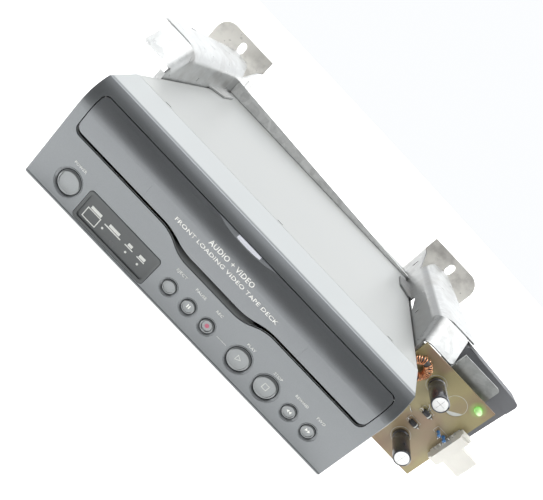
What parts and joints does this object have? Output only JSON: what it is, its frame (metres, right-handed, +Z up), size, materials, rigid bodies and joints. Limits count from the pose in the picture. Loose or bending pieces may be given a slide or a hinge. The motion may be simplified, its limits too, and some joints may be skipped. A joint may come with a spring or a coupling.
{
  "type": "video cassette recorder",
  "caption": "Low front-loading video cassette recorder for a vehicle, held between two bent steel brackets with slotted ears, with an open power board beside it.",
  "frame": {"origin": "centre of the recorder's flat underside", "axes": "+X to the right of a person facing the front, +Y to the back, +Z up"},
  "size_m": [0.4415, 0.3199, 0.133],
  "materials": {
    "case_plastic": "grey metallic paint on moulded plastic, satin",
    "key_plastic": "grey moulded plastic",
    "smoked_lens": "smoked window",
    "tab_plastic": "light grey plastic",
    "cover_steel": "silver-grey paint",
    "zinc_steel": "zinc plated sheet",
    "plain_steel": "bright steel",
    "screw_steel": "zinc plated",
    "aluminium": "machined",
    "sink_aluminium": "mill finish",
    "brass": "turned",
    "rubber": "black",
    "gear_plastic": "white acetal",
    "board": "tan-green laminate with solder lacquer",
    "black_plastic": "black moulding",
    "dark_case": "dark grey moulding",
    "sleeve": "black shrink sleeve",
    "copper_wire": "lacquered copper",
    "lamp": "green diode lens",
    "blue_part": "lacquered",
    "white_plastic": "white nylon",
    "white_print": "screen printed ink",
    "red_print": "screen printed ink",
    "yellow_plastic": "moulded socket ring",
    "red_plastic": "moulded socket ring"
  },
  "bodies": {
    "recorder": {"front_bezel": "case_plastic", "door_hinge_rod": "plain_steel", "door_spring": "plain_steel", "display_lens": "smoked_lens", "bottom_pan": "zinc_steel", "top_cover": "cover_steel", "rear_panel": "zinc_steel", "small_screws": "screw_steel", "rear_sockets": "black_plastic", "side_frames": "plain_steel", "deck_plate": "plain_steel", "drum_base": "aluminium", "drive_belt": "rubber", "deck_posts": "plain_steel", "loading_motor": "plain_steel", "main_board": "board", "front_board": "board", "tact_switches": "black_plastic", "left_bracket": "zinc_steel", "right_bracket": "zinc_steel", "bracket_screws": "screw_steel", "cross_brace": "zinc_steel", "flange_bumper": "rubber", "module_board": "board", "board_spacers": "plain_steel", "module_heat_sink": "sink_aluminium", "module_case": "dark_case", "capacitors": "sleeve", "choke_coil": "copper_wire", "module_lamp": "lamp", "module_components": "blue_part", "link_socket": "white_plastic", "link_plug": "white_plastic"},
    "door": {"cassette_door": "case_plastic", "door_tab": "tab_plastic"},
    "power_key": {"power_button": "key_plastic"},
    "play_key": {"play_button": "key_plastic"},
    "stop_key": {"stop_button": "key_plastic"},
    "eject_key": {"eject_button": "key_plastic"},
    "pause_key": {"pause_button": "key_plastic"},
    "record_key": {"record_button": "key_plastic"},
    "rewind_key": {"rewind_button": "key_plastic"},
    "forward_key": {"forward_button": "key_plastic"},
    "lift": {"basket_lift": "plain_steel"},
    "basket": {"cassette_basket": "plain_steel"},
    "drum": {"head_drum": "aluminium", "drum_shaft": "plain_steel"},
    "capstan": {"capstan_shaft": "plain_steel", "capstan_flywheel": "brass"},
    "clutch": {"drive_clutch": "gear_plastic"},
    "idler_swing_arm": {"idler_arm": "plain_steel"},
    "idler": {"idler_gear": "gear_plastic"},
    "supply_reel": {"supply_reel_table": "black_plastic"},
    "takeup_reel": {"takeup_reel_table": "black_plastic"},
    "pinch": {"pinch_arm": "plain_steel"},
    "pinch_wheel": {"pinch_roller": "rubber"},
    "loading_wheel": {"loading_gear": "gear_plastic"},
    "worm": {"loading_worm": "gear_plastic"},
    "supply_shoe": {"supply_guide": "plain_steel"},
    "takeup_shoe": {"takeup_guide": "plain_steel"}
  },
  "joints": [
    {"name": "door_swing", "type": "hinge", "parent": "recorder", "child": "door", "pos_m": [0, -0.1422, 0.0714], "axis": [1, 0, 0], "range_deg": [0, 100], "stiffness_Nm_per_rad": 0.004, "springref_deg": -20.05},
    {"name": "power_press", "type": "slide", "parent": "recorder", "child": "power_key", "axis": [0, 1, 0], "range_m": [0, 0.0015], "stiffness_N_per_m": 600},
    {"name": "play_press", "type": "slide", "parent": "recorder", "child": "play_key", "axis": [0, 1, 0], "range_m": [0, 0.0015], "stiffness_N_per_m": 600},
    {"name": "stop_press", "type": "slide", "parent": "recorder", "child": "stop_key", "axis": [0, 1, 0], "range_m": [0, 0.0015], "stiffness_N_per_m": 600},
    {"name": "eject_press", "type": "slide", "parent": "recorder", "child": "eject_key", "axis": [0, 1, 0], "range_m": [0, 0.0015], "stiffness_N_per_m": 600},
    {"name": "pause_press", "type": "slide", "parent": "recorder", "child": "pause_key", "axis": [0, 1, 0], "range_m": [0, 0.0015], "stiffness_N_per_m": 600},
    {"name": "record_press", "type": "slide", "parent": "recorder", "child": "record_key", "axis": [0, 1, 0], "range_m": [0, 0.0015], "stiffness_N_per_m": 600},
    {"name": "rewind_press", "type": "slide", "parent": "recorder", "child": "rewind_key", "axis": [0, 1, 0], "range_m": [0, 0.0015], "stiffness_N_per_m": 600},
    {"name": "forward_press", "type": "slide", "parent": "recorder", "child": "forward_key", "axis": [0, 1, 0], "range_m": [0, 0.0015], "stiffness_N_per_m": 600},
    {"name": "basket_lower", "type": "slide", "parent": "recorder", "child": "lift", "axis": [0, 0, -1], "range_m": [0, 0.015]},
    {"name": "basket_load", "type": "slide", "parent": "lift", "child": "basket", "axis": [0, 1, 0], "range_m": [0, 0.062]},
    {"name": "drum_spin", "type": "hinge", "parent": "recorder", "child": "drum", "pos_m": [0, 0.104, 0.045], "axis": [0, 0, 1], "continuous": true},
    {"name": "capstan_spin", "type": "hinge", "parent": "recorder", "child": "capstan", "pos_m": [0.054, 0.084, 0.0135], "axis": [0, 0, 1], "continuous": true},
    {"name": "clutch_spin", "type": "hinge", "parent": "recorder", "child": "clutch", "pos_m": [0, -0.0283, 0.02], "axis": [0, 0, 1], "continuous": true},
    {"name": "idler_swing", "type": "hinge", "parent": "recorder", "child": "idler_swing_arm", "pos_m": [0, -0.0283, 0.029], "axis": [0, 0, 1], "range_deg": [-1.5, 1.5]},
    {"name": "idler_spin", "type": "hinge", "parent": "idler_swing_arm", "child": "idler", "pos_m": [0, 0.004, 0.027], "axis": [0, 0, 1], "continuous": true},
    {"name": "supply_reel_spin", "type": "hinge", "parent": "recorder", "child": "supply_reel", "pos_m": [-0.046, 0.004, 0.03], "axis": [0, 0, 1], "continuous": true},
    {"name": "takeup_reel_spin", "type": "hinge", "parent": "recorder", "child": "takeup_reel", "pos_m": [0.046, 0.004, 0.03], "axis": [0, 0, 1], "continuous": true},
    {"name": "pinch_swing", "type": "hinge", "parent": "recorder", "child": "pinch", "pos_m": [0.088, 0.08, 0.028], "axis": [0, 0, 1], "range_deg": [0, 53]},
    {"name": "pinch_roller_spin", "type": "hinge", "parent": "pinch", "child": "pinch_wheel", "pos_m": [0.0753, 0.102, 0.04], "axis": [0, 0, 1], "continuous": true},
    {"name": "loading_turn", "type": "hinge", "parent": "recorder", "child": "loading_wheel", "pos_m": [-0.084, 0.098, 0.0315], "axis": [0, 0, 1], "range_deg": [0, 300]},
    {"name": "worm_turn", "type": "hinge", "parent": "recorder", "child": "worm", "pos_m": [-0.08, 0.12535, 0.0315], "axis": [1, 0, 0], "continuous": true},
    {"name": "supply_thread", "type": "slide", "parent": "recorder", "child": "supply_shoe", "axis": [-0.2425, 0.9701, 0], "range_m": [0, 0.0372]},
    {"name": "takeup_thread", "type": "slide", "parent": "recorder", "child": "takeup_shoe", "axis": [0.2425, 0.9701, 0], "range_m": [0, 0.0372]}
  ],
  "couplings": [
    {"joint": "clutch_spin", "follows": "capstan_spin", "ratio": 2.5625},
    {"joint": "idler_spin", "follows": "capstan_spin", "ratio": -1.0027},
    {"joint": "worm_turn", "follows": "loading_turn", "ratio": 44},
    {"joint": "supply_thread", "follows": "loading_turn", "m_per_rad": 0.007066},
    {"joint": "takeup_thread", "follows": "loading_turn", "m_per_rad": 0.007066},
    {"joint": "pinch_swing", "follows": "loading_turn", "ratio": 0.175}
  ]
}
